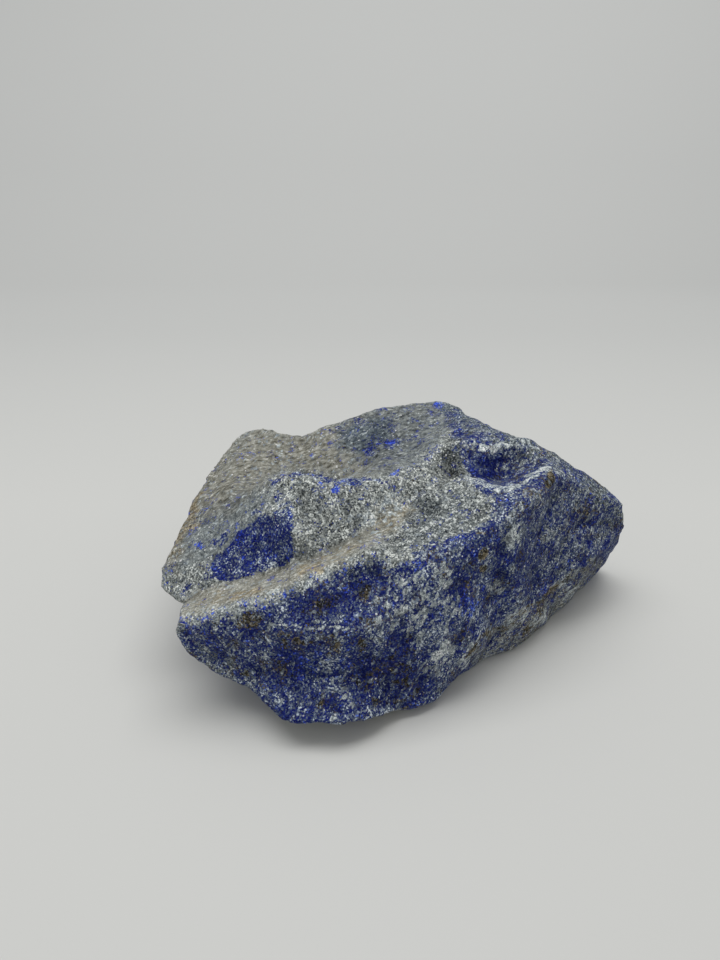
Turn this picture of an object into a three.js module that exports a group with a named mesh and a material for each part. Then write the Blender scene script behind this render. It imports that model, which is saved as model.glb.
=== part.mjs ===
// A rough lump of lapis lazuli, broken on every side, in millimetres with +Z up.
//
// Sixteen contour lines run over the stone from its left end to its right tip: up the front,
// across the top and down the back. Each line lists the corners it passes, by x (right), y (back)
// and z (up). The skin is stretched between neighbouring lines, divided evenly, worn a little
// at its edges, dented where chips have come away, and roughened.
import * as THREE from "three";
import { ImprovedNoise } from "three/addons/math/ImprovedNoise.js";

// Fineness of the skin and wear of the stone
const EDGE = 4.0; // longest edge left in the skin
const MOST_ROUNDS = 10; // of halving the edges
const WEAR_PASSES = 1;
const WEAR = 0.28; // share of the way to the mean of its neighbours that a corner is worn in one pass
const FLOOR_GAP = 0.4; // least height of anything that isn't the flat underside
// Roughness: [wavelength, height] of each octave
const ROUGHNESS = [[21, 1.0], [10, 0.7], [5.5, 0.5]];

// Corners that several lines share
const TIP = [63.5, 18, 28.5]; // the right tip is blunt, so it has two corners
const TIP_LOW = [65.5, 16.5, 22];
const EDGE_TOP = [44.5, 18.5, 43.2]; // the sharp edge down to the tip, and its middle
const EDGE_MIDDLE = [56, 19.5, 35];
const FOOT_RIGHT = [65, 23.5, 4]; // the foot of the right end, and the flat's corner under it
const BASE_RIGHT = [61, 23, 0];

// The flat that the stone rests on
const BASE_FRONT = [
  [-34, -10, 0], [-27, -19, 0], [-14, -23, 0], [-4, -25, 0], [6, -24, 0], [15, -18, 0], [21.5, -12.5, 0],
  [34, -5.8, 0], [44.5, 4.5, 0], [54, 14.5, 0], BASE_RIGHT,
];
const BASE_BACK = [
  [-36, 2, 0], [-34, 24, 0], [-18, 34, 0], [4, 37, 0], [22, 33, 0], [36, 28, 0], [50, 27, 0], BASE_RIGHT,
];

// The front, from its lower edge to its rim
const FOOT = [
  [-52.5, -23, 21.5], [-50, -24.5, 16], [-44.5, -25.5, 11.5], [-33.5, -29.5, 8.5], [-26.5, -37, 6.8],
  [-13.4, -38.8, 7.5], [-8, -36.5, 6.2], [2.1, -29.8, 3], [8.2, -27, 2.4], [16.8, -19.3, 3.6],
  [21.2, -14, 1], [33.8, -7.3, 1], [44.8, 3, 1], [55.2, 13, 1.5], FOOT_RIGHT,
];
const FRONT_LOW = [
  [-52, -23.5, 23], [-43.5, -25, 15.5], [-32, -28, 14.5], [-20.5, -29.5, 14], [-9, -29, 14.5],
  [1.5, -27, 16.5], [11.5, -24.5, 16], [18.5, -21.5, 13], [25.5, -11.5, 9.5], [32.4, -9, 12.5],
  [42.5, -1, 15.5], [52.5, 5, 19], TIP_LOW,
];
const FRONT_MID = [
  [-51.5, -24, 24], [-44.5, -26, 23.5], [-35, -26.5, 24], [-25, -27.5, 26], [-16, -28.5, 26.5],
  [-6.5, -27.5, 27], [1, -22.5, 30], [9.5, -21.5, 28.5], [17, -18, 28.5], [24.5, -13, 22],
  [27.5, -11.8, 28], [36, -1.7, 26], [48, 6.2, 25.5], TIP_LOW,
];
const RIM = [
  [-51, -24, 25.5], [-43.5, -24, 28.4], [-35, -24, 31.6], [-28, -22.5, 33.8], [-21, -20, 36],
  [-14, -17.5, 38], [-9, -16.5, 39.8], [-5.5, -16.5, 41.2], [-2.5, -16.5, 39.6], [1, -17.5, 37.8],
  [7, -18, 39], [14.5, -14, 40.8], [20.5, -11, 42.2], [26, -7.5, 43.7], [30.5, -5, 44.9],
  [35, 0.5, 45.4], [40.5, 8.5, 44.6], [48, 12.5, 39.5], [56, 14, 33], TIP,
];

// The ledge behind the rim, and the slope above it
const LEDGE = [
  [-52, -15, 23.3], [-44.5, -13, 26.4], [-39, -13, 28], [-31.5, -12.5, 29.8], [-25.5, -11, 31.4],
  [-17.5, -10.5, 33.6], [-10.5, -7.5, 35.8], [-4.5, -5, 37.6], [0.5, -3, 39.2], [6.5, -7.5, 40.2],
  [14, -3.5, 42.4], [21, -3.5, 44], [26.5, -3.5, 45], [31.5, -0.5, 45.7], [37, 5.5, 45.8], EDGE_TOP,
  EDGE_MIDDLE, TIP,
];
const SLOPE = [
  [-59, -8, 22], [-53.5, -11.5, 23.8], [-48, -11, 26.3], [-42.5, -9.5, 28.6], [-37, -7.5, 31.2],
  [-31.5, -6.5, 34], [-25.5, -8.5, 40.6], [-17.5, -3.5, 39.4], [-9, 0, 40], [-2, 3, 40.9],
  [5, 3.5, 41.6], [11, 5, 42.8], [16.5, 6, 44], [20, 4, 44.6], [23.5, 2.5, 44.8], [26.5, 1, 45],
  [31, 3, 45.4], [35, 6, 46], [40, 11, 45.4], EDGE_TOP, EDGE_MIDDLE, TIP,
];
const CREST = [
  [-58.5, -6, 25.5], [-55, -4.5, 27.2], [-51, -2, 29], [-45.5, -1.5, 31.8], [-40, -0.5, 35.6],
  [-33.5, 1.5, 39.4], [-26.5, 1, 43.6], [-21, 3, 43.6], [-14, 3, 43.2], [-6.5, 3.5, 42.9],
  [-0.5, 5, 43], [9, 9.5, 42.9], [13, 12, 42.2], [17, 10, 43.8], [21, 10.5, 42.2], [25.5, 12, 41],
  [29.5, 12.5, 41.5], [34, 14.5, 43.6], [37.5, 14, 45.8], EDGE_TOP, EDGE_MIDDLE, TIP,
];
const RIDGE = [
  [-57, 5, 27], [-50.5, 9.5, 30.5], [-43.5, 12.5, 35], [-36.5, 11.5, 40], [-31.5, 9.5, 43.2],
  [-26.5, 7, 45.8], [-21, 6.5, 46], [-15, 4.5, 45], [-8.5, 4.5, 44.8], [-2.5, 5.5, 44.6],
  [5, 12.5, 44.2], [10, 15, 44.4], [13.5, 15, 44.8], [16.5, 13, 46], [21, 14.5, 44.6], [26, 16, 43.8],
  [31, 17, 44.4], [35, 16.5, 46.2], [38, 16.5, 47], EDGE_TOP, EDGE_MIDDLE, TIP,
];

// The hollow behind the crest, and the back rim
const BASIN = [
  [-54.5, 24.5, 29], [-48.5, 22.5, 31.8], [-43, 26, 33.6], [-31, 20, 32.2], [-18, 21, 32.4],
  [-8, 24, 36.5], [-2, 24, 41], [6, 28.5, 43.2], [11, 18.5, 46.8], [14.5, 17.5, 48],
  [18.5, 18.5, 48.6], [22.5, 18, 48.2], [25.5, 17, 47.6], [30, 17.5, 48.4], [34.5, 20, 48.4], EDGE_TOP,
  EDGE_MIDDLE, TIP,
];
const BASIN_BACK = [
  [-52.5, 33, 30.5], [-45.5, 33, 34], [-38, 37, 35.4], [-26.5, 37, 34.8], [-16, 36, 37.4],
  [-7.5, 37, 40.8], [2.5, 38, 43.6], [12, 40, 45], [18, 34.5, 46], [23.5, 25.5, 47.3], [29, 21.5, 48],
  [34.5, 21, 47.7], EDGE_TOP, EDGE_MIDDLE, TIP,
];
const BACK_RIM = [
  [-48.5, 39, 33.5], [-43.5, 44, 36.8], [-38.5, 44.5, 38.5], [-26, 41.5, 37.5], [-12, 45, 41.3],
  [-2.5, 47, 43.3], [7.5, 48.5, 44.8], [15, 49, 45.3], [20, 44.5, 45.2], [24, 33.5, 46.2],
  [29.5, 25.5, 47.8], [34.5, 22, 47.7], EDGE_TOP, EDGE_MIDDLE, TIP,
];

// The back, down to the floor
const BACK_HIGH = [
  [-50, 36, 25], [-42, 46.5, 29], [-28, 45.5, 30], [-13, 47.5, 33], [2, 50.5, 35], [15, 50, 33.5],
  [27, 40, 32], [37, 31.5, 32], [50, 25, 29], TIP,
];
const BACK_STEP = [
  [-48, 33.5, 18], [-40, 47, 21.5], [-29, 46.5, 22], [-16, 50, 20.5], [-4, 51, 25.5], [8, 52.5, 25],
  [18, 49, 19.5], [27, 43.5, 21], [37, 34.5, 17.5], [51, 28.5, 20], TIP_LOW,
];
const BACK_LOW = [
  [-45, 29, 9], [-37, 41, 12], [-26, 43, 13], [-14, 48.5, 8], [-2, 47.5, 14], [9, 50, 9.5], [20, 46, 12],
  [29, 38, 7.5], [42, 32, 11], [55, 29, 8], FOOT_RIGHT,
];

// The left end, between the first corners of the lines
const LIP_UNDERSIDE = [-52.5, -12.5, 19.5];
const LEFT_HOLLOW = [-47, 2, 13];

// Chips that have come away: the middle of each, its reach and its depth
const CHIPS = [
  { at: [-9, -21, 32.5], reach: 10, depth: 2.0 }, // under the middle of the rim
  { at: [-33, 48, 27], reach: 12, depth: 1.8 }, // two scars on the back
  { at: [32, 39, 25], reach: 13, depth: 2.2 },
  { at: [-46, 22, 12], reach: 12, depth: 1.4 }, // the hollow of the left end
  { at: [-20, -32, 12], reach: 13, depth: 0.9 }, // low on the front
  { at: [43, 0, 17], reach: 12, depth: 0.9 }, // a shallow scar low on the right face
];

function pointsAndIndex() {
  const points = [];
  const known = new Map();
  function index(corner) {
    const key = corner.join();
    if (!known.has(key)) {
      known.set(key, points.length);
      points.push(new THREE.Vector3(...corner));
    }
    return known.get(key);
  }
  return { points, index };
}

// Triangles between two lines, always closing the shorter of the two next diagonals
function stretchSkin(points, front, back, triangles) {
  let i = 0;
  let j = 0;
  function close(a, b, c) {
    if (a !== b && b !== c && c !== a) triangles.push([a, b, c]);
  }
  while (i < front.length - 1 || j < back.length - 1) {
    const onFront = i < front.length - 1 ? points[front[i + 1]].distanceTo(points[back[j]]) : Infinity;
    const onBack = j < back.length - 1 ? points[front[i]].distanceTo(points[back[j + 1]]) : Infinity;
    if (onFront <= onBack) {
      close(front[i], front[i + 1], back[j]);
      i += 1;
    } else {
      close(front[i], back[j + 1], back[j]);
      j += 1;
    }
  }
}

// The left end: a fan about its hollow, and the underside of the lip between the ledge and the slope
function closeLeftEnd(ends, slopeAt, index, triangles) {
  const underside = index(LIP_UNDERSIDE);
  triangles.push([ends[slopeAt], underside, ends[slopeAt - 1]]);
  const around = ends.toSpliced(slopeAt, 0, underside);
  const hollow = index(LEFT_HOLLOW);
  around.forEach((a, which) => triangles.push([a, around[(which + 1) % around.length], hollow]));
}

// Halves every edge that is over its limit, until none is
function divide(points, triangles) {
  for (let round = 0; round < MOST_ROUNDS; round += 1) {
    const middles = new Map();
    function middle(a, b) {
      const key = a < b ? `${a},${b}` : `${b},${a}`;
      if (!middles.has(key)) {
        let found = -1;
        if (points[a].distanceTo(points[b]) > EDGE) {
          found = points.length;
          points.push(points[a].clone().lerp(points[b], 0.5));
        }
        middles.set(key, found);
      }
      return middles.get(key);
    }
    const divided = [];
    for (const triangle of triangles) {
      const halves = triangle.map((a, side) => middle(a, triangle[(side + 1) % 3]));
      const cuts = halves.filter((half) => half >= 0).length;
      if (cuts === 0) divided.push(triangle);
      if (cuts === 3) {
        const [a, b, c] = triangle;
        const [ab, bc, ca] = halves;
        divided.push([a, ab, ca], [ab, b, bc], [ca, bc, c], [ab, bc, ca]);
      }
      if (cuts === 1) {
        const side = halves.findIndex((half) => half >= 0);
        const [a, b, c] = [0, 1, 2].map((step) => triangle[(side + step) % 3]);
        divided.push([a, halves[side], c], [halves[side], b, c]);
      }
      if (cuts === 2) {
        const whole = halves.findIndex((half) => half < 0);
        const [a, b, c] = [0, 1, 2].map((step) => triangle[(whole + step) % 3]);
        const bc = halves[(whole + 1) % 3];
        const ca = halves[(whole + 2) % 3];
        divided.push([ca, bc, c]);
        if (points[a].distanceTo(points[bc]) < points[b].distanceTo(points[ca])) {
          divided.push([a, b, bc], [a, bc, ca]);
        } else {
          divided.push([a, b, ca], [b, bc, ca]);
        }
      }
    }
    if (divided.length === triangles.length) break;
    triangles = divided;
  }
  return triangles;
}

function neighboursOf(points, triangles) {
  const neighbours = points.map(() => new Set());
  for (const [a, b, c] of triangles) {
    neighbours[a].add(b).add(c);
    neighbours[b].add(c).add(a);
    neighbours[c].add(a).add(b);
  }
  return neighbours;
}

const restsOnFloor = (point) => point.z === 0;

function wear(points, neighbours) {
  const means = points.map((point, which) => {
    const mean = new THREE.Vector3();
    for (const near of neighbours[which]) mean.add(points[near]);
    return mean.divideScalar(neighbours[which].size);
  });
  points.forEach((point, which) => {
    if (!restsOnFloor(point)) point.lerp(means[which], WEAR);
  });
}

function normalsOf(points, triangles) {
  const normals = points.map(() => new THREE.Vector3());
  const side = new THREE.Vector3();
  const across = new THREE.Vector3();
  for (const [a, b, c] of triangles) {
    side.subVectors(points[b], points[a]);
    across.subVectors(points[c], points[a]);
    side.cross(across);
    for (const corner of [a, b, c]) normals[corner].add(side);
  }
  return normals.map((normal) => normal.normalize());
}

function chip(points, normals) {
  for (const { at, reach, depth } of CHIPS) {
    const middle = new THREE.Vector3(...at);
    points.forEach((point, which) => {
      const share = point.distanceTo(middle) / reach;
      if (share >= 1 || restsOnFloor(point)) return;
      point.addScaledVector(normals[which], -depth * (1 - share * share) ** 2);
    });
  }
}

function roughen(points, normals) {
  const noise = new ImprovedNoise();
  points.forEach((point, which) => {
    if (restsOnFloor(point)) return;
    let height = 0;
    for (const [wavelength, swing] of ROUGHNESS) {
      height += swing * noise.noise(point.x / wavelength, point.y / wavelength, point.z / wavelength);
    }
    point.addScaledVector(normals[which], height);
    point.z = Math.max(point.z, FLOOR_GAP);
  });
}

function stoneGeometry() {
  const { points, index } = pointsAndIndex();
  const contours = [
    BASE_FRONT, FOOT, FRONT_LOW, FRONT_MID, RIM, LEDGE, SLOPE, CREST, RIDGE, BASIN, BASIN_BACK, BACK_RIM,
    BACK_HIGH, BACK_STEP, BACK_LOW, BASE_BACK,
  ];
  const lines = contours.map((line) => line.map(index));
  let triangles = [];
  lines.forEach((line, which) => stretchSkin(points, line, lines[(which + 1) % lines.length], triangles));
  closeLeftEnd(lines.map((line) => line[0]), contours.indexOf(SLOPE), index, triangles);
  triangles = divide(points, triangles);
  const neighbours = neighboursOf(points, triangles);
  for (let pass = 0; pass < WEAR_PASSES; pass += 1) wear(points, neighbours);
  chip(points, normalsOf(points, triangles));
  roughen(points, normalsOf(points, triangles));
  const geometry = new THREE.BufferGeometry().setFromPoints(points).setIndex(triangles.flat());
  geometry.computeVertexNormals();
  geometry.computeBoundingBox();
  return geometry;
}

const rock = new THREE.MeshStandardMaterial({ color: 0x4a5270, roughness: 0.7, metalness: 0 });

const stone = new THREE.Mesh(stoneGeometry(), rock);
stone.name = "lapis_stone";
const middle = stone.geometry.boundingBox.getCenter(new THREE.Vector3());
stone.position.set(-middle.x, -middle.y, 0); // the origin is under the middle of the stone

const specimen = new THREE.Group();
specimen.add(stone);
export default specimen;
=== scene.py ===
import math

import bpy
import numpy as np
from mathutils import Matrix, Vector, noise


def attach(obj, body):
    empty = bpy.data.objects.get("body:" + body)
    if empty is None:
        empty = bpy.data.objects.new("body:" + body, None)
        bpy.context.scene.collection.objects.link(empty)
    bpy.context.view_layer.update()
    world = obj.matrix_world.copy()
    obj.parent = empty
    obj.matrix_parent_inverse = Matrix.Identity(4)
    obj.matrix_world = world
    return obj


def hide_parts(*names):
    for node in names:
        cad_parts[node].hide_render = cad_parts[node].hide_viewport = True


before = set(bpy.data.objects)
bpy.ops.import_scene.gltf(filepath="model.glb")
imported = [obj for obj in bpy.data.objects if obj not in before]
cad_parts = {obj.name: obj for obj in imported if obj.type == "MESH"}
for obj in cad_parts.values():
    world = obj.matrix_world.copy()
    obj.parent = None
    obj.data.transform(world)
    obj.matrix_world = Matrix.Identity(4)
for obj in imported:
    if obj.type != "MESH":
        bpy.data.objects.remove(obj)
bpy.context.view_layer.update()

MM = 0.001  # m

# ---- The camera: a phone held over the front edge of the stone -------------------------------------
FRAME_W, FRAME_H = 720, 960  # pixels
FOCAL = 721.0  # pixels
PITCH = math.radians(33.5)  # below level
STONE_SHIFT = np.array([-2.961, -7.368, 0.0])  # mm, from the part's own points to the shared frame
EYE = np.array([-9.0, -144.0, 144.0]) + STONE_SHIFT  # mm
AHEAD = np.array([0.0, math.cos(PITCH), -math.sin(PITCH)])
DOWN = np.array([0.0, -math.sin(PITCH), -math.cos(PITCH)])
SENSOR = 36.0  # mm, its height
CLIP = (0.01, 20.0)  # m, its nearest and farthest sight


def make_camera():
    data = bpy.data.cameras.new("camera")
    data.sensor_fit = "VERTICAL"
    data.sensor_height = SENSOR
    data.lens = SENSOR * FOCAL / FRAME_H
    data.clip_start, data.clip_end = CLIP
    camera = bpy.data.objects.new("camera", data)
    camera.location = Vector(EYE * MM)
    camera.rotation_euler = (math.radians(90) - PITCH, 0.0, 0.0)
    bpy.context.collection.objects.link(camera)
    bpy.context.scene.camera = camera


def in_picture(points):
    """Pixel coordinates of points given in mm."""
    away = points - EYE
    depth = away @ AHEAD
    u = FRAME_W / 2 + FOCAL * away[:, 0] / depth
    v = FRAME_H / 2 + FOCAL * (away @ DOWN) / depth
    return np.stack([u, v], axis=1)


# ---- The fine surface -----------------------------------------------------------------------------
VOXEL = 0.62  # mm
SMOOTHING = 0.5  # share of the way to the middle of its neighbours that each point moves, once
# Broken facets: [cell size, tilt, step] in mm, from coarse to fine
FACETS = [[9.0, 0.06, 0.12], [4.2, 0.05, 0.05], [1.9, 0.04, 0.02]]
ROUGHNESS = [[2.6, 0.05], [1.4, 0.03]]  # [wavelength, swing] in mm
SWELL = 0.3  # mm that makes up for what the remeshing takes off the corners
CALM_SHARE = 0.8  # share of the facets that is missing where the stone is calm
FLAT_BELOW = 0.15  # mm above the floor; any lower point lies on the floor
LEAST_HEIGHT = 0.05  # mm above the floor of the other points
FLOOR_FADE = 2.5  # mm above the floor over which the roughness fades in
CURVE_SPREAD = 10  # rounds of averaging over which the stone's edges and hollows are felt
FULL_BULGE = 0.020  # mm that a point of the sharpest edge stands out from its neighbours
# The random values of a facet are looked up by its middle, stretched, and moved for the second value
KEY_STRETCH = 97.31
LEVEL_APART = Vector((8.3, 2.9, 4.4))
FIRST_SEED = 3.0
SEED_STEP = 10.0  # between one size of facets and the next
TILT_FACTOR = 4.0
BORDER_SHARPNESS = 4.0  # of the step between two facets


def noise_values(points, wavelength, offset=0.0):
    return np.array([noise.noise(Vector(p)) for p in points / wavelength + offset])


def smoothstep(low, high, x):
    t = np.clip((x - low) / (high - low), 0.0, 1.0)
    return t * t * (3 - 2 * t)


def facet_heights(points, cell, tilt, step, seed):
    """Height of a surface broken into cells, each a small plane with its own tilt and level."""
    heights = np.empty(len(points))
    for i, p in enumerate(points / cell + seed):
        distances, centres = noise.voronoi(Vector(p))
        key = centres[0] * KEY_STRETCH
        lean = noise.cell_vector(key) - Vector((0.5, 0.5, 0.5))
        level = noise.cell(key + LEVEL_APART) - 0.5
        border = min(1.0, (distances[1] - distances[0]) * BORDER_SHARPNESS)
        slope = TILT_FACTOR * tilt * cell * (Vector(p) - centres[0]).dot(lean)
        heights[i] = (slope + step * level) * border
    return heights


def mesh_arrays(mesh):
    points = np.empty(len(mesh.vertices) * 3)
    normals = np.empty(len(mesh.vertices) * 3)
    mesh.vertices.foreach_get("co", points)
    mesh.vertices.foreach_get("normal", normals)
    return points.reshape(-1, 3) / MM, normals.reshape(-1, 3)


def remeshed(node):
    """An even, fine copy of the CAD stone's mesh."""
    rough = bpy.data.objects.new("rough", node.data.copy())
    bpy.context.collection.objects.link(rough)
    remesh = rough.modifiers.new("remesh", "REMESH")
    remesh.mode = "VOXEL"
    remesh.voxel_size = VOXEL * MM
    smooth = rough.modifiers.new("smooth", "SMOOTH")
    smooth.factor = SMOOTHING
    smooth.iterations = 1
    bpy.context.view_layer.update()
    fine = bpy.data.meshes.new_from_object(rough.evaluated_get(bpy.context.evaluated_depsgraph_get()))
    bpy.data.objects.remove(rough)
    fine.materials.clear()
    return fine


def break_surface(points, normals, calm):
    """The points moved out or in, so that the skin is broken into facets and grains."""
    heights = np.zeros(len(points))
    for which, (cell, tilt, step) in enumerate(FACETS):
        heights += facet_heights(points, cell, tilt, step, FIRST_SEED + SEED_STEP * which)
    for wavelength, swing in ROUGHNESS:
        heights += 2 * swing * noise_values(points, wavelength)
    heights = (SWELL + heights * (1 - CALM_SHARE * calm)) * smoothstep(0.0, FLOOR_FADE, points[:, 2])
    moved = points + normals * heights[:, None]
    above = np.maximum(moved[:, 2], LEAST_HEIGHT)
    moved[:, 2] = np.where(points[:, 2] < FLAT_BELOW, 0.0, above)
    return moved


def edge_and_hollow(mesh, points, normals):
    """1 on the sharpest outward edges, -1 in the sharpest hollows and 0 where the stone is even."""
    ends = np.empty(len(mesh.edges) * 2, np.int32)
    mesh.edges.foreach_get("vertices", ends)
    one, other = ends.reshape(-1, 2).T
    count = np.bincount(one, minlength=len(points)) + np.bincount(other, minlength=len(points))

    def mean_around(values):
        total = np.bincount(one, values[other], len(points)) + np.bincount(other, values[one], len(points))
        return total / count

    middle = np.stack([mean_around(points[:, axis]) for axis in range(3)], axis=1)
    bulge = np.sum((points - middle) * normals, axis=1)
    for _ in range(CURVE_SPREAD):
        bulge = 0.5 * bulge + 0.5 * mean_around(bulge)
    return np.clip(bulge / FULL_BULGE, -1.0, 1.0)


# ---- Where each mineral shows ---------------------------------------------------------------------
# Outlines of the patches and lines of the stripes, in pixels of the picture that the camera takes
FRONT = [
    (170, 632), (181, 630), (209, 622), (244, 611), (275, 600), (306, 586), (337, 572), (360, 562),
    (380, 556), (392, 562), (405, 563), (415, 556), (427, 548), (440, 545), (457, 538), (470, 533),
    (481, 526), (490, 517), (496, 505), (490, 495), (478, 488), (466, 478), (463, 462), (456, 448),
    (450, 432), (446, 416), (452, 408), (470, 414), (500, 424), (530, 434), (556, 448), (580, 462),
    (604, 482), (640, 510), (640, 560), (600, 640), (500, 700), (300, 760), (150, 680),
]
WEDGE = [
    (210, 568), (217, 556), (231, 541), (242, 529), (257, 520), (272, 514), (289, 507), (291, 514),
    (292, 535), (293, 557), (283, 565), (261, 573), (233, 582), (219, 579),
]
LEDGE = [
    (180, 604), (190, 595), (199, 590), (218, 585), (233, 580), (252, 576), (270, 571), (289, 565),
    (302, 560), (325, 551), (344, 541), (361, 531), (383, 519), (400, 510), (414, 506), (406, 522),
    (388, 538), (366, 550), (344, 560), (328, 568), (307, 578), (283, 589), (262, 597), (241, 602),
    (218, 609), (199, 614), (181, 619),
]
LEFT_BAND = [
    (160, 566), (196, 478), (228, 430), (240, 434), (222, 470), (205, 500), (190, 540), (178, 574),
]
BASIN = [
    (196, 500), (222, 462), (240, 436), (262, 426), (303, 432), (350, 416), (400, 404), (442, 398),
    (430, 430), (405, 455), (372, 474), (340, 478), (312, 470), (286, 470), (262, 486), (236, 512),
    (212, 524),
]
PLATEAU = [
    (334, 424), (360, 412), (400, 402), (440, 398), (446, 420), (432, 448), (404, 466), (372, 470),
    (350, 455),
]
TOE = [
    (470, 668), (474, 652), (482, 637), (500, 628), (516, 613), (537, 604), (558, 588), (574, 572),
    (590, 560), (612, 560), (596, 592), (560, 626), (524, 652), (490, 670),
]
RIM_LINE = [
    (183, 623), (218, 615), (241, 609), (262, 603), (283, 596), (307, 585), (328, 575), (344, 568),
    (362, 561), (378, 556),
]
CREST_LINE = [
    (273, 484), (283, 478), (294, 475), (306, 476), (318, 479), (331, 482), (350, 483), (367, 480),
    (380, 482),
]
RIGHT_RIM = [(452, 408), (480, 420), (512, 432), (540, 446), (572, 466), (600, 490), (618, 512)]
CRACK = [(550, 472), (549, 479), (546, 486)]
GROOVE = [(469, 656), (479, 635), (500, 627), (516, 611), (537, 603), (558, 585), (574, 569)]
WHITE_VEINS = [
    [(463, 445), (477, 447), (490, 450), (510, 443), (530, 447), (548, 458)],
    [(468, 478), (480, 483), (493, 488), (507, 490), (520, 485), (532, 477), (547, 469)],
]
FINE_VEINS = [
    [(270, 624), (297, 626), (323, 629), (349, 627)],
    [(390, 558), (392, 574), (388, 590)],
    [(457, 665), (470, 645), (480, 632)],
]

# Patches: outline, softness of the border in pixels, and whether the border is clean-cut
PATCHES = {
    "front": (FRONT, 5, False), "ledge": (LEDGE, 4, True), "toe": (TOE, 4, False),
    "wedge": (WEDGE, 2.5, True), "plateau": (PLATEAU, 14, False), "basin": (BASIN, 10, False),
    "left band": (LEFT_BAND, 6, False),
}
# Stripes: lines, half width, softness of the border, and whether the border is clean-cut
STRIPES = {
    "rim": ([RIM_LINE], 3.0, 5, True), "right rim": ([RIGHT_RIM], 10, 9, False),
    "crest": ([CREST_LINE], 0.8, 3, True), "bright crest": ([CREST_LINE], 0.8, 2.5, True),
    "veins": (WHITE_VEINS, 2.0, 3.5, True), "fine veins": (FINE_VEINS, 0.6, 2, True),
    "crack": ([CRACK], 0.8, 2, True), "groove": ([GROOVE], 0.8, 2.5, True),
}
# The lip's oval: place, half width, half height, angle from level
LIP = ((222, 528), 66, 24, 38)
PLATEAU_LOSS = 0.6  # share of the hollow's tan that the plateau takes

# Spots: place, half width, half height, angle from level (counter-clockwise), strength
BLUE_SPOTS = [
    ((200, 546), 5, 4, 30, 0.85), ((222, 541), 12, 4, 38, 0.8), ((256, 513), 6, 3, 30, 0.9),
    ((281, 502), 9, 9, 45, 0.6), ((392, 444), 10, 7, 30, 0.62), ((438, 406), 6, 4, 0, 0.8),
    ((350, 425), 20, 7, 20, 0.4), ((395, 473), 6, 3, 25, 0.7), ((188, 587), 7, 3, 30, 0.6),
    ((430, 548), 12, 6, 20, 0.6), ((210, 578), 8, 6, 20, 0.5), ((455, 425), 9, 16, 0, 0.5),
    ((300, 553), 12, 5, 30, 0.4), ((372, 452), 10, 6, 20, 0.4),
]
COBALT_SPOTS = [
    ((335, 490), 6, 3.5, 10, 1.0), ((392, 444), 8, 5, 30, 0.28), ((438, 406), 6, 4, 0, 0.6),
    ((460, 540), 8, 6, 30, 0.25), ((200, 546), 5, 4, 30, 0.4), ((395, 473), 5, 2.5, 25, 0.6),
    ((190, 628), 9, 6, 20, 0.5), ((352, 585), 14, 8, 30, 0.35), ((345, 660), 30, 22, 0, 0.2),
    ((300, 668), 26, 20, 0, 0.18), ((250, 550), 24, 18, 0, 0.16), ((510, 500), 8, 12, -20, 0.2),
    ((545, 590), 8, 8, 0, 0.3), ((470, 600), 14, 24, -25, 0.25),
]
WHITE_SPOTS = [
    ((399, 607), 10, 8, 40, 0.6), ((412, 580), 15, 6, 15, 0.62), ((444, 577), 5, 16, -10, 0.66),
    ((420, 614), 5, 21, -8, 0.6), ((447, 605), 12, 10, 20, 0.6), ((444, 652), 12, 17, -20, 0.6),
    ((466, 662), 5, 14, -50, 0.6), ((495, 588), 16, 7, 15, 0.45), ((513, 537), 7, 14, -10, 0.85),
    ((559, 466), 9, 6, -20, 0.75), ((541, 619), 6, 6, 0, 0.7), ((500, 648), 8, 6, 25, 0.6),
    ((566, 589), 9, 9, 20, 0.5), ((570, 525), 44, 40, 0, 0.2), ((382, 624), 8, 12, 0, 0.5),
    ((346, 695), 8, 12, 0, 0.28), ((328, 721), 7, 4, 0, 0.5), ((265, 650), 6, 12, 30, 0.4),
    ((317, 618), 6, 5, 20, 0.5), ((388, 568), 5, 9, 0, 0.5), ((420, 600), 44, 52, 20, 0.33),
    ((516, 613), 14, 9, 25, 0.5), ((430, 650), 30, 30, 0, 0.3), ((525, 500), 6, 16, -25, 0.45),
    ((515, 465), 24, 12, 0, 0.3), ((385, 512), 32, 20, 30, 0.46), ((250, 632), 26, 9, 10, 0.16),
]
BROWN_SPOTS = [
    ((250, 620), 17, 10, 20, 0.55), ((363, 590), 9, 12, 0, 0.6), ((334, 647), 10, 13, 0, 0.5),
    ((361, 647), 7, 8, 0, 0.6), ((482, 553), 4, 8, -10, 1.0), ((484, 569), 4, 5, 0, 1.0),
    ((373, 702), 6, 6, 0, 0.45), ((245, 673), 5, 5, 0, 0.5), ((228, 650), 26, 14, 30, 0.26),
    ((388, 674), 40, 32, 0, 0.2), ((325, 606), 30, 14, 15, 0.38), ((528, 630), 18, 6, 28, 0.5),
    ((297, 640), 5, 4, 0, 0.5),
]
# Dark grains, and painted shade in the pit, on the dark step, in the recess under the rim, in the corner by
# the toe and low on the front and toe
DARK_GRAIN_AND_SHADE_SPOTS = [
    ((454, 461), 9, 16, 0, 1.0), ((432, 508), 8, 10, 0, 0.7), ((226, 492), 6, 12, -20, 0.7),
    ((488, 468), 18, 12, 10, 0.8), ((548, 479), 2, 6, 0, 1.0), ((385, 440), 24, 14, 20, 0.5),
    ((190, 510), 10, 46, -25, 0.22), ((462, 584), 9, 18, -10, 0.6), ((402, 652), 14, 16, 0, 0.5),
    ((310, 505), 14, 8, 30, 0.35), ((352, 512), 16, 10, 0, 0.3), ((520, 640), 40, 6, 30, 0.4),
    ((478, 662), 10, 5, 30, 0.6), ((356, 592), 14, 9, 30, 0.5), ((300, 655), 24, 22, 0, 0.35),
    ((590, 570), 24, 14, 45, 0.4), ((388, 672), 44, 34, 0, 0.45), ((325, 606), 34, 16, 15, 0.8),
    ((290, 705), 44, 20, 0, 0.3), ((520, 560), 30, 30, 0, 0.25),
]
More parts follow.
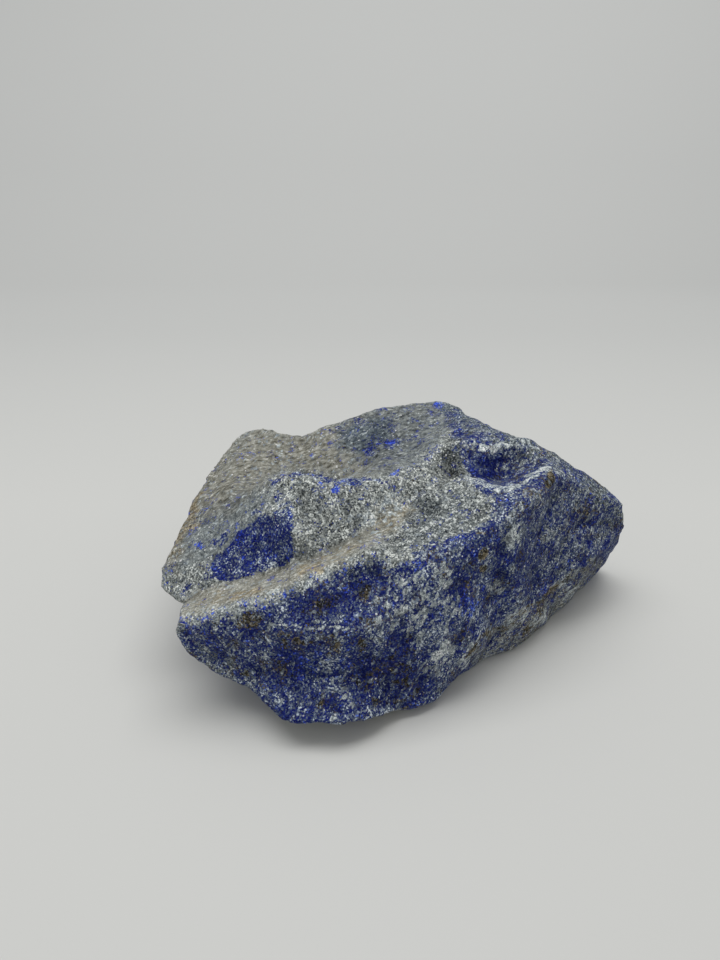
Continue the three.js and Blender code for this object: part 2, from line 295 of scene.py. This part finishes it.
RUST_SPOTS = [
    ((245, 594), 20, 6, 18, 0.8), ((312, 570), 22, 6, 28, 0.8), ((212, 600), 18, 7, 15, 0.4),
    ((345, 552), 22, 6, 30, 0.45), ((392, 518), 26, 14, 30, 0.4), ((186, 520), 9, 44, -25, 0.75),
    ((545, 600), 36, 5, 40, 0.7), ((470, 650), 14, 4, 60, 0.6),
]
TAN_SPOTS = [((392, 518), 26, 18, 30, 0.5)]
SLATE_SPOTS = [((440, 520), 50, 30, 25, 0.35), ((368, 436), 34, 18, 15, 0.9)]
FADED_BLUE_SPOTS = [
    ((560, 525), 64, 60, 0, 0.22), ((505, 440), 56, 14, -18, 0.25), ((456, 456), 16, 20, 0, 0.4),
    ((215, 665), 56, 34, -40, 0.26),
]
SPOTS = {
    "blue": BLUE_SPOTS, "cobalt": COBALT_SPOTS, "white": WHITE_SPOTS, "tan": TAN_SPOTS, "slate": SLATE_SPOTS,
    "dark": BROWN_SPOTS, "dark_grain_and_shade": DARK_GRAIN_AND_SHADE_SPOTS, "rust": RUST_SPOTS,
}
CLEAN_SPOTTED = {"blue", "cobalt", "dark"}  # the minerals whose spots are clean-cut

# How much of a mineral a place has, from 0 to 1. GROUND is added up. The spots and LEAST then give at least
# their own amount, and LESS takes its share off. CHANGE is added at the end. Dark grain and shade, and calm,
# aren't minerals: the first is how dark the grains are, partly dark grains and partly painted shade in the
# pit, on the dark step, in the recess under the rim and low on the front and toe; calm is how even the grains
# are. Cobalt takes its ground from the blue, so it comes later.
MINERALS = ["blue", "cobalt", "white", "tan", "slate", "dark", "dark_grain_and_shade", "rust", "calm"]
GROUND = {
    "blue": {"everywhere": 0.05, "front": 0.84, "basin": -0.05},
    "cobalt": {"blue": 0.05},
    "white": {"everywhere": 0.10, "front": -0.03, "ledge": 0.14},
    "dark": {"front": 0.18},
    "dark_grain_and_shade": {"basin": 0.14, "plateau": 0.10},
}
LEAST = {
    "blue": {"plateau": 0.18, "wedge": 0.98, "crest": 0.75},
    "cobalt": {"bright crest": 0.18, "rim": 0.24},
    "white": {"veins": 0.60, "fine veins": 0.70, "rim": 0.32, "toe": 0.22},
    "tan": {"ledge": 0.80, "left band": 0.90, "hollow": 0.80, "toe": 0.55},
    "slate": {"plateau": 0.45, "right rim": 0.90, "lip": 0.45, "front": 0.60},
    "dark": {"crack": 1.0, "groove": 0.60},
    "calm": {"basin": 0.90, "plateau": 0.90, "ledge": 0.50, "lip": 0.50},
}
LESS = {
    "blue": {"ledge": 0.90, "toe": 0.48, "rim": 0.40, "right rim": 0.45},
    "white": {"ledge": 0.40, "wedge": 0.90, "right rim": 0.50},
    "slate": {"toe": 0.50},
}
CHANGE = {"dark_grain_and_shade": {"ledge": -0.22, "wedge": 0.15}}
BROWN_FADE = (0.25, 0.5)  # the brown above which blue fades, and how fast it does

# The faces that the camera doesn't see: least amount, swing, the noise values that it swings between, and the
# noises themselves, each by its wavelength in mm, place and share
HIDDEN = {
    "blue": (0.0, 0.9, -0.25, 0.45, [(21.0, 5.0, 1.0), (9.0, 15.0, 0.6)]),
    "white": (0.12, 0.35, 0.1, 0.5, [(12.0, 33.0, 1.0)]),
    "tan": (0.0, 0.7, 0.0, 0.5, [(24.0, 51.0, 1.0)]),
    "slate": (0.0, 0.5, -0.1, 0.5, [(17.0, 111.0, 1.0)]),
    "dark": (0.0, 0.4, 0.25, 0.5, [(8.0, 71.0, 1.0)]),
    "dark_grain_and_shade": (0.0, 0.5, 0.1, 0.5, [(6.0, 131.0, 1.0)]),
    "rust": (0.0, 0.7, 0.1, 0.6, [(13.0, 151.0, 1.0)]),
    "calm": (0.0, 0.8, -0.2, 0.4, [(30.0, 91.0, 1.0)]),
}
HIDDEN_COBALT = 0.12  # share of the hidden blue
SEEN_EDGE = (-0.12, 0.18)  # cosines to the line of sight between which a face passes from hidden to seen
# Noises that make the borders ragged: wavelength in mm, swing in pixels, places of its two parts
RAGGED = [(3.2, 9.0, (20.0, 40.0)), (1.1, 5.0, (60.0, 80.0))]
CLEAN_SHARE = 0.3  # share of that swing that the clean-cut borders have
# Reach of an oval spot, in shares of its half width: where it begins to fade, and where it has gone
OVAL_FADE = (0.55, 1.25)


def distance_to_line(spots, line, closed):
    """The least distance of each spot to a line through the given corners."""
    least = np.full(len(spots), np.inf)
    ends = line[1:] + line[:1] if closed else line[1:]
    for start, end in zip(line, ends):
        a = np.array(start, float)
        along = np.array(end, float) - a
        share = np.clip(((spots - a) @ along) / (along @ along), 0.0, 1.0)
        gap = spots - (a + share[:, None] * along)
        least = np.minimum(least, np.hypot(gap[:, 0], gap[:, 1]))
    return least


def is_inside(spots, outline):
    inside = np.zeros(len(spots), bool)
    x, y = spots[:, 0], spots[:, 1]
    for (x0, y0), (x1, y1) in zip(outline, outline[1:] + outline[:1]):
        if y0 == y1:
            continue
        crosses = (y0 > y) != (y1 > y)
        inside ^= crosses & (x < (x1 - x0) * (y - y0) / (y1 - y0) + x0)
    return inside


def patch(spots, outline, soft):
    """1 inside the outline, 0 outside it, with a border as wide as soft."""
    distance = distance_to_line(spots, outline, closed=True)
    signed = np.where(is_inside(spots, outline), distance, -distance)
    return smoothstep(-soft, soft, signed)


def stripe(spots, line, width, soft):
    """1 on the line and within the width of it, 0 past its border."""
    return 1 - smoothstep(width, width + soft, distance_to_line(spots, line, closed=False))


def blob(spots, centre, across, up, angle=0.0):
    """An oval: 1 at its middle, 0 past its border."""
    turn = math.radians(angle)
    x = spots[:, 0] - centre[0]
    y = spots[:, 1] - centre[1]
    along = (x * math.cos(turn) - y * math.sin(turn)) / across
    over = (x * math.sin(turn) + y * math.cos(turn)) / up
    return 1 - smoothstep(*OVAL_FADE, np.hypot(along, over))


def masks_of(ragged, clean):
    """How far each point lies in each patch, stripe and oval, from 0 to 1."""
    masks = {"everywhere": np.ones(len(clean))}
    for name, (outline, soft, is_clean) in PATCHES.items():
        masks[name] = patch(clean if is_clean else ragged, outline, soft)
    for name, (lines, width, soft, is_clean) in STRIPES.items():
        where = clean if is_clean else ragged
        masks[name] = np.maximum.reduce([stripe(where, line, width, soft) for line in lines])
    masks["lip"] = blob(ragged, *LIP)
    masks["hollow"] = masks["basin"] * (1 - PLATEAU_LOSS * masks["plateau"])
    return masks


def seen_amount(mineral, masks, where):
    """The amount of a mineral on the faces that the camera sees."""
    amount = np.zeros(len(where))
    for name, share in GROUND.get(mineral, {}).items():
        amount += share * masks[name]
    for *oval, strength in SPOTS.get(mineral, []):
        amount = np.maximum(amount, strength * blob(where, *oval))
    for name, share in LEAST.get(mineral, {}).items():
        amount = np.maximum(amount, share * masks[name])
    for name, share in LESS.get(mineral, {}).items():
        amount = amount * (1 - share * masks[name])
    for name, change in CHANGE.get(mineral, {}).items():
        amount = amount + change * masks[name]
    return amount


def hidden_amount(points, least, swing, low, high, noises):
    """The amount of a mineral on the faces that the camera doesn't see."""
    values = sum(share * noise_values(points, wavelength, place) for wavelength, place, share in noises)
    return least + swing * smoothstep(low, high, values)


def mineral_maps(points, normals):
    """How much of each mineral is at each point."""
    to_eye = EYE - points
    to_eye /= np.linalg.norm(to_eye, axis=1)[:, None]
    faces_eye = smoothstep(*SEEN_EDGE, np.sum(normals * to_eye, axis=1))
    swings = sum(
        swing * np.stack([noise_values(points, wavelength, place) for place in places], axis=1)
        for wavelength, swing, places in RAGGED)
    ragged = in_picture(points) + swings
    clean = in_picture(points) + swings * CLEAN_SHARE

    masks = masks_of(ragged, clean)
    seen = {}
    for mineral in MINERALS:
        seen[mineral] = seen_amount(mineral, masks, clean if mineral in CLEAN_SPOTTED else ragged)
        masks[mineral] = seen[mineral]
    for *oval, strength in FADED_BLUE_SPOTS:
        seen["blue"] = seen["blue"] * (1 - strength * blob(ragged, *oval))
    least_brown, fade = BROWN_FADE
    seen["blue"] = seen["blue"] * (1 - fade * np.clip(seen["dark"] - least_brown, 0, 1))

    hidden = {mineral: hidden_amount(points, *settings) for mineral, settings in HIDDEN.items()}
    hidden["cobalt"] = HIDDEN_COBALT * hidden["blue"]
    return {name: hidden[name] + (seen[name] - hidden[name]) * faces_eye for name in MINERALS}


# ---- The rock's material --------------------------------------------------------------------------
MOST_ALBEDO = 0.95


def linear(tone):
    """Linear colour of an 8-bit screen tone, by the sRGB curve."""
    parts = [c / 255 for c in tone]
    return [c / 12.92 if c <= 0.04045 else ((c + 0.055) / 1.055) ** 2.4 for c in parts]


def albedo(tone, light):
    """Base colour that shows as the tone where the surface gets this share of full light."""
    return tuple(min(MOST_ALBEDO, c / light) for c in linear(tone)) + (1.0,)


class Nodes:
    """Short ways to add and join shader nodes."""

    def __init__(self, material):
        material.use_nodes = True
        self.tree = material.node_tree
        self.tree.nodes.clear()

    def add(self, kind, inputs=None, **settings):
        node = self.tree.nodes.new(kind)
        for name, value in settings.items():
            setattr(node, name, value)
        for name, value in (inputs or {}).items():
            self.feed(node.inputs[name], value)
        return node

    def feed(self, socket, value):
        if isinstance(value, bpy.types.NodeSocket):
            self.tree.links.new(value, socket)
        else:
            socket.default_value = value

    def maths(self, operation, a, b, c=0.0, clamp=False):
        node = self.add("ShaderNodeMath", {0: a, 1: b, 2: c}, operation=operation, use_clamp=clamp)
        return node.outputs[0]

    def vector(self, operation, a, b):
        node = self.add("ShaderNodeVectorMath", {0: a}, operation=operation)
        self.feed(node.inputs["Scale"] if operation == "SCALE" else node.inputs[1], b)
        return node.outputs[0]

    def mix(self, share, a, b):
        node = self.add("ShaderNodeMix", data_type="RGBA")
        self.feed(node.inputs[0], share)
        self.feed(node.inputs[6], a)
        self.feed(node.inputs[7], b)
        return node.outputs[2]

    def ramp(self, value, stops):
        """Colours at places from 0 to 1, with even passages between them."""
        node = self.add("ShaderNodeValToRGB", {"Fac": value})
        ramp = node.color_ramp
        while len(ramp.elements) < len(stops):
            ramp.elements.new(0.5)
        for element, (position, colour) in zip(ramp.elements, stops):
            element.position = position
            element.color = colour
        return node.outputs["Color"]

    def attribute(self, name):
        return self.add("ShaderNodeAttribute", attribute_name=name).outputs["Fac"]

    def voronoi(self, vector, scale):
        return self.add("ShaderNodeTexVoronoi", {"Vector": vector, "Scale": scale})

    def noise(self, vector, scale, detail, roughness, output="Fac"):
        inputs = {"Vector": vector, "Scale": scale, "Detail": detail, "Roughness": roughness}
        return self.add("ShaderNodeTexNoise", inputs).outputs[output]

    def channels(self, colour):
        return self.add("ShaderNodeSeparateColor", {"Color": colour}).outputs

    def spread(self, value, by):
        """A value between 0 and 1 pushed away from its middle."""
        return self.maths("MULTIPLY_ADD", value, by, 0.5 - 0.5 * by)

    def chosen(self, amount, by, sharp):
        """1 in the grains that a mineral takes, for an amount from 0 to 1."""
        return self.maths("MULTIPLY_ADD", self.maths("SUBTRACT", amount, by), sharp, 0.5, clamp=True)

    def multiplied(self, share, a, b):
        """Colour a times colour b, for a share from 0 to 1."""
        inputs = {0: share, 6: a, 7: b}
        return self.add("ShaderNodeMix", inputs, data_type="RGBA", blend_type="MULTIPLY").outputs[2]


GRAIN = 0.36  # mm across
CLUMP = 1.1  # mm across
# The ways that the streaks run, and the share of its length that space is squeezed by along them
STREAK_ALONG = (0.45, 0.35, 0.82)
STREAK_SQUEEZE = 0.5
CLOUD_SQUEEZE = 0.3
LEDGE_ALONG = (0.93, 0.21, 0.29)
LEDGE_SQUEEZE = 0.75
CALM_SQUEEZE = 0.2
# Noises: scale per mm, detail, roughness
WOBBLE = (1.1, 3.0, 0.5)  # that bends the clumps
CLOUD = (0.30, 6.0, 0.68)
STREAK = (0.80, 5.0, 0.60)
SPECKLE = (2.3, 3.0, 0.7)
PATCHY = (0.15, 5.0, 0.6)
CALM_GRAIN = (1.0, 4.0, 0.55)
LEDGE_GRAIN = (1.5, 4.0, 0.6)
# Mixes of random values: the name of each, how far it is spread from its middle, and its share
GRIT_MIX = [("shade", 1.0, 0.75), ("speckle", 2.4, 0.25)]
GREY_MIX = [("grit", 1.0, 0.64), ("clump shade", 1.0, 0.12), ("streak", 2.6, 0.24)]
BLUE_MIX = [
    ("glint", 1.0, 0.36), ("speckle", 2.4, 0.18), ("clump tint", 1.0, 0.12), ("cloud", 2.6, 0.18),
    ("patchy", 2.4, 0.16),
]
PICKED_BY = {
    "blue": [("pick", 1.0, 0.34), ("clump pick", 1.0, 0.20), ("cloud", 2.4, 0.46)],
    "cobalt": [("shade", 1.0, 0.35), ("clump shade", 1.0, 0.30), ("cloud", 2.4, 0.35)],
    "dark": [("glint", 1.0, 0.25), ("clump shade", 1.0, 0.30), ("patchy", 2.4, 0.45)],
    "white": [("shade", 1.0, 0.14), ("clump tint", 1.0, 0.10), ("streak", 2.8, 0.76)],
}
LIGHTNESS_SPREAD = 2.1
PICK_SPREAD = 1.6
CALM_SPREAD = 1.7
# How light the grains are, from 0 to 1: what an edge adds (wear and painted highlight) and a hollow takes off
# (painted shade), and what the dark grains and painted shade of a place take off
GREY_EDGE = 0.08
GREY_DARK_AND_SHADE = 0.45
BLUE_EDGE = 0.06
BLUE_DARK_AND_SHADE = 0.30
FELT_LOSS = 0.8  # share of the edges and hollows that isn't felt where the stone is calm
# The tan grains' lightness: shares of the grey grains' lightness and of the ledge's grain, less a shade
TAN_GREY = 0.75
TAN_GRAIN = 0.70
TAN_SPREAD = 2.6
TAN_SHADE = 0.24
# Shares of full light that reach the top, the steep faces, and the places of some minerals
LIGHT_TOP = 0.92
LIGHT_FRONT = 0.475
LIGHT_COBALT = LIGHT_FRONT + 0.15
LIGHT_WHITE = LIGHT_FRONT + 0.10
LIGHT_DARK = LIGHT_FRONT + 0.04
# Screen tones of the minerals, each from its darkest grains at 0 to its lightest at 1
GREY_TONES = [
    (0.0, (50, 54, 55)), (0.25, (96, 101, 100)), (0.5, (127, 131, 129)), (0.75, (152, 157, 154)),
    (0.9, (178, 183, 178)), (1.0, (220, 224, 219)),
]
TAN_TONES = [
    (0.0, (76, 73, 62)), (0.3, (112, 110, 98)), (0.6, (138, 136, 125)), (0.85, (162, 161, 151)),
    (1.0, (200, 199, 190)),
]
SLATE_TONES = [
    (0.0, (30, 38, 50)), (0.3, (58, 68, 78)), (0.6, (88, 98, 104)), (0.85, (118, 126, 129)),
    (1.0, (172, 179, 181)),
]
BLUE_TONES = [
    (0.0, (6, 12, 54)), (0.20, (12, 20, 76)), (0.37, (22, 32, 84)), (0.52, (36, 44, 69)),
    (0.67, (54, 63, 81)), (0.81, (83, 92, 106)), (0.92, (114, 122, 131)), (1.0, (156, 163, 168)),
]
COBALT_TONES = [(0.0, (18, 30, 120)), (0.4, (38, 58, 160)), (0.8, (74, 100, 196)), (1.0, (130, 156, 215))]
WHITE_TONES = [(0.0, (86, 92, 98)), (0.45, (132, 139, 140)), (0.8, (174, 180, 178)), (1.0, (212, 216, 212))]
DARK_TONES = [(0.0, (20, 19, 18)), (0.4, (46, 43, 35)), (0.75, (76, 70, 55)), (1.0, (112, 105, 88))]
# Minerals laid over the rock one after the other: name, sharpness of its choice of grains, which grains'
# lightness it has, share of full light, tones
LAYERS = [
    ("blue", 5.0, "blue lightness", LIGHT_FRONT, BLUE_TONES),
    ("cobalt", 4.0, "blue lightness", LIGHT_COBALT, COBALT_TONES),
    ("dark", 4.0, "grey lightness", LIGHT_DARK, DARK_TONES),
    ("white", 7.0, "grey lightness", LIGHT_WHITE, WHITE_TONES),
]
RUST_TINT = (1.05, 0.92, 0.74, 1)
RUST_SPREAD = 2.2
RUST_SHARPNESS = 2.0
# A few grains painted near-white: partly white crystals, partly painted glints
SPARKLE_TONE = (206, 212, 218)
SPARKLES = (0.994, 0.997)  # picks at which a grain begins to sparkle, and sparkles fully
SPARKLE_SHARE = 0.7
HOLLOW_SHADE = 0.70  # painted shade: share of the colour that is left in the sharpest hollows
BUMP = 0.16  # mm that a grain stands out by
# How much a grain's own pick and the speckle lift it
LIFT_OF_PICK = 0.7
LIFT_OF_SPECKLE = 1.6
# Strengths of the bump and of the grains' own lean, and what calm takes off them
BUMP_STRENGTH = 0.8
BUMP_LOSS = 0.6
LEAN_STRENGTH = 0.32
LEAN_LOSS = 0.26
ROUGHNESSES = [(0.0, 0.75), (0.85, 0.62), (0.95, 0.36), (1.0, 0.2)]  # by the grain's glint
SPECULAR = 0.08


def tones(light, stops):
    """Colour ramp stops from (position, screen tone) pairs."""
    return [(position, albedo(tone, light)) for position, tone in stops]


def even(value):
    """A grey with this value."""
    return (value,) * 3 + (1,)


def mixed(n, at, parts, by):
    """A mix of random values, by their shares, spread out again."""
    total = 0.0
    for name, contrast, share in parts:
        part = n.maths("MULTIPLY", n.spread(at[name], contrast), share)
        total = n.maths("ADD", total, part)
    return n.spread(total, by)


def rock_patterns(n):
    """The random values, noises and zones that the rock's grains are drawn with."""
    place = n.add("ShaderNodeTexCoord").outputs["Object"]
    mm = n.vector("SCALE", place, 1.0 / MM)
    bent = n.vector("ADD", mm, n.noise(mm, *WOBBLE, output="Color"))

    def drawn_out(direction, squeeze):
        """Space squeezed along a direction, so that what is drawn in it comes out long that way."""
        dot = n.add("ShaderNodeVectorMath", {0: mm, 1: direction}, operation="DOT_PRODUCT")
        back = n.vector("SCALE", direction, n.maths("MULTIPLY", dot.outputs["Value"], squeeze))
        return n.vector("SUBTRACT", bent, back)

    grain = n.voronoi(mm, 1 / GRAIN)
    clump = n.voronoi(bent, 1 / CLUMP)
    pick, shade, glint = n.channels(grain.outputs["Color"])[:3]
    clump_pick, clump_shade, clump_tint = n.channels(clump.outputs["Color"])[:3]
    return {
        "grain distance": grain.outputs["Distance"], "grain colour": grain.outputs["Color"],
        "pick": pick, "shade": shade, "glint": glint,
        "clump pick": clump_pick, "clump shade": clump_shade, "clump tint": clump_tint,
        "cloud": n.noise(drawn_out(STREAK_ALONG, CLOUD_SQUEEZE), *CLOUD),
        "streak": n.noise(drawn_out(STREAK_ALONG, STREAK_SQUEEZE), *STREAK),
        "speckle": n.noise(mm, *SPECKLE), "patchy": n.noise(mm, *PATCHY),
        "calm grain": n.noise(drawn_out(LEDGE_ALONG, CALM_SQUEEZE), *CALM_GRAIN),
        "ledge grain": n.noise(drawn_out(LEDGE_ALONG, LEDGE_SQUEEZE), *LEDGE_GRAIN),
        "worn": n.attribute("worn"), "calm": n.attribute("calm"), "dark_grain_and_shade": n.attribute("dark_grain_and_shade"),
    }


def add_lightness(n, at):
    """Adds how light each grain of the grey, tan and blue rock is, and how far edges and hollows are felt."""
    at["felt"] = n.maths("MULTIPLY", at["worn"], n.maths("MULTIPLY_ADD", at["calm"], -FELT_LOSS, 1.0))
    gritty = mixed(n, at, GRIT_MIX, 1.0)
    to_calm = n.maths("SUBTRACT", n.spread(at["calm grain"], CALM_SPREAD), gritty)
    at["grit"] = n.maths("ADD", gritty, n.maths("MULTIPLY", at["calm"], to_calm))

    # Grey and blue grains: lighter on the edges (wear and painted highlight), darker in the hollows (painted
    # shade) and where the dark grains and painted shade are
    grey = n.maths("MULTIPLY_ADD", at["felt"], GREY_EDGE, mixed(n, at, GREY_MIX, LIGHTNESS_SPREAD))
    at["grey lightness"] = n.maths("MULTIPLY_ADD", at["dark_grain_and_shade"], -GREY_DARK_AND_SHADE, grey)
    tan = n.maths("MULTIPLY_ADD", at["grey lightness"], TAN_GREY, -TAN_SHADE)
    at["tan lightness"] = n.maths("MULTIPLY_ADD", n.spread(at["ledge grain"], TAN_SPREAD), TAN_GRAIN, tan)
    blue = n.maths("MULTIPLY_ADD", at["worn"], BLUE_EDGE, mixed(n, at, BLUE_MIX, LIGHTNESS_SPREAD))
    at["blue lightness"] = n.maths("MULTIPLY_ADD", at["dark_grain_and_shade"], -BLUE_DARK_AND_SHADE, blue)


def rock_colour(n, at):
    """Grey rock with the other minerals laid over it, each in the grains that it takes, then a few grains
    painted near-white and painted shade in the hollows.
    """
    colour = n.ramp(at["grey lightness"], tones(LIGHT_TOP, GREY_TONES))
    colour = n.mix(n.attribute("tan"), colour, n.ramp(at["tan lightness"], tones(LIGHT_TOP, TAN_TONES)))
    colour = n.mix(n.attribute("slate"), colour, n.ramp(at["grey lightness"], tones(LIGHT_TOP, SLATE_TONES)))
    rusty = n.chosen(n.attribute("rust"), n.spread(at["ledge grain"], RUST_SPREAD), RUST_SHARPNESS)
    colour = n.multiplied(rusty, colour, RUST_TINT)
    for mineral, sharpness, lightness, light, stops in LAYERS:
        picked_by = mixed(n, at, PICKED_BY[mineral], PICK_SPREAD)
        taken = n.chosen(n.attribute(mineral), picked_by, sharpness)
        colour = n.mix(taken, colour, n.ramp(at[lightness], tones(light, stops)))

    # A few grains painted near-white: white crystals and painted glints
    begins, full = SPARKLES
    sparkle = n.ramp(at["pick"], [(0.0, even(0.0)), (begins, even(0.0)), (full, even(1.0))])
    sparkle_share = n.maths("MULTIPLY", sparkle, SPARKLE_SHARE)
    colour = n.mix(sparkle_share, colour, albedo(SPARKLE_TONE, LIGHT_COBALT))
    # Painted shade: the colour darkened in the hollows, down to HOLLOW_SHADE in the sharpest
    from_hollow_to_edge = n.maths("MULTIPLY_ADD", at["felt"], 0.5, 0.5)
    shade = n.ramp(from_hollow_to_edge, [(0.0, even(HOLLOW_SHADE)), (0.5, even(1.0)), (1.0, even(1.0))])
    return n.multiplied(1.0, colour, shade)


def rock_normal(n, at):
    """Grains that stand out a little and lean each its own way, less where the stone is calm."""
    by_pick = n.maths("MULTIPLY", at["pick"], LIFT_OF_PICK)
    by_speckle = n.maths("MULTIPLY", at["speckle"], LIFT_OF_SPECKLE)
    height = n.maths("SUBTRACT", n.maths("ADD", by_pick, by_speckle), at["grain distance"])
    bump = n.add("ShaderNodeBump", {"Distance": BUMP * MM, "Height": height})
    n.feed(bump.inputs["Strength"], n.maths("MULTIPLY_ADD", at["calm"], -BUMP_LOSS, BUMP_STRENGTH))
    own_way = n.vector("SUBTRACT", at["grain colour"], (0.5, 0.5, 0.5))
    lean = n.vector("SCALE", own_way, n.maths("MULTIPLY_ADD", at["calm"], -LEAN_LOSS, LEAN_STRENGTH))
    leaning = n.vector("ADD", bump.outputs["Normal"], lean)
    return n.add("ShaderNodeVectorMath", {0: leaning}, operation="NORMALIZE").outputs[0]


def rock_material():
    material = bpy.data.materials.new("lapis_rock")
    n = Nodes(material)
    at = rock_patterns(n)
    add_lightness(n, at)
    roughness = n.ramp(at["glint"], [(place, even(value)) for place, value in ROUGHNESSES])
    looks = {"Base Color": rock_colour(n, at), "Roughness": roughness, "Normal": rock_normal(n, at)}
    shader = n.add("ShaderNodeBsdfPrincipled", looks)
    n.feed(shader.inputs["Specular IOR Level"], SPECULAR)
    n.add("ShaderNodeOutputMaterial", {"Surface": shader.outputs[0]})
    return material


def make_stone(node):
    mesh = remeshed(node)
    points, normals = mesh_arrays(mesh)
    maps = mineral_maps(points, normals)
    moved = break_surface(points, normals, maps["calm"])
    mesh.vertices.foreach_set("co", (moved * MM).ravel())
    mesh.update()
    # Edges lightened (wear and painted highlight) and hollows darkened (painted shade) by this map
    maps["worn"] = edge_and_hollow(mesh, *mesh_arrays(mesh))
    for name, values in maps.items():
        layer = mesh.attributes.new(name, "FLOAT", "POINT")
        layer.data.foreach_set("value", values.astype(np.float32))
    mesh.update()
    mesh.shade_smooth()
    stone = bpy.data.objects.new("lapis_stone_surface", mesh)
    bpy.context.collection.objects.link(stone)
    mesh.materials.append(rock_material())
    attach(stone, "root")
    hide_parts("lapis_stone")


# ---- The pale table and the light -----------------------------------------------------------------
FLOOR_NEAR = -1.2  # m, in front of the stone
WALL_AT = 0.245  # m, about where the sheet starts to rise
WALL_RISE = math.radians(36)
WALL_LENGTH = 1.5  # m
BEND = 0.06  # m, radius
BEND_STEPS = 8
FLOOR_HALF_WIDTH = 1.8  # m
# Colour of the sheet, by the distance behind the stone's middle in m: darker towards the back and up the
# slope, painted shade for the light that falls off there
FLOOR_COLOURS = [
    (0.05, (0.595, 0.597, 0.575, 1)), (0.20, (0.515, 0.52, 0.506, 1)), (0.32, (0.482, 0.487, 0.475, 1)),
    (1.0, (0.49, 0.495, 0.482, 1)),
]
FLOOR_ROUGHNESS = 0.6
SOFTBOX_PLACE = (-0.04, 0.16, 0.80)  # m
SOFTBOX_SIZE = (1.0, 0.40)  # m
SOFTBOX_POWER = 5.1  # W
ROOM_COLOUR = (0.98, 0.99, 1.0, 1)
ROOM_STRENGTH = 0.435


def make_floor():
    """A pale sheet that runs back under the stone and rises in a gentle slope behind it."""
    profile = [(FLOOR_NEAR, 0.0)]
    for step in range(BEND_STEPS + 1):
        turn = WALL_RISE * step / BEND_STEPS
        profile.append((WALL_AT - BEND / 2 + BEND * math.sin(turn), BEND - BEND * math.cos(turn)))
    end_y, end_z = profile[-1]
    profile.append((end_y + WALL_LENGTH * math.cos(WALL_RISE), end_z + WALL_LENGTH * math.sin(WALL_RISE)))
    mesh = bpy.data.meshes.new("floor")
    sides = [-FLOOR_HALF_WIDTH, FLOOR_HALF_WIDTH]
    vertices = [(x, y, z) for y, z in profile for x in sides]
    faces = [(2 * i, 2 * i + 1, 2 * i + 3, 2 * i + 2) for i in range(len(profile) - 1)]
    mesh.from_pydata(vertices, [], faces)
    mesh.shade_smooth()
    floor = bpy.data.objects.new("floor", mesh)
    bpy.context.collection.objects.link(floor)
    material = bpy.data.materials.new("pale_table")
    n = Nodes(material)
    place = n.add("ShaderNodeTexCoord").outputs["Object"]
    away = n.add("ShaderNodeSeparateXYZ", {0: place}).outputs["Y"]
    # The sheet's colour darkens towards the back: painted shade
    shader = n.add("ShaderNodeBsdfPrincipled", {"Base Color": n.ramp(away, FLOOR_COLOURS)})
    n.feed(shader.inputs["Roughness"], FLOOR_ROUGHNESS)
    n.add("ShaderNodeOutputMaterial", {"Surface": shader.outputs[0]})
    mesh.materials.append(material)


def area_light(name, place, size, power):
    """A rectangular lamp that faces the stone."""
    data = bpy.data.lights.new(name, "AREA")
    data.shape = "RECTANGLE"
    data.size, data.size_y = size
    data.energy = power
    light = bpy.data.objects.new(name, data)
    light.location = place
    light.rotation_euler = (-Vector(place)).to_track_quat("-Z", "Y").to_euler()
    bpy.context.collection.objects.link(light)


def make_light():
    area_light("softbox", SOFTBOX_PLACE, SOFTBOX_SIZE, SOFTBOX_POWER)
    world = bpy.data.worlds.new("room")
    world.use_nodes = True
    background = world.node_tree.nodes["Background"]
    background.inputs["Color"].default_value = ROOM_COLOUR
    background.inputs["Strength"].default_value = ROOM_STRENGTH
    bpy.context.scene.world = world
    bpy.context.scene.view_settings.view_transform = "Standard"


make_camera()
make_floor()
make_light()
make_stone(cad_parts["lapis_stone"])
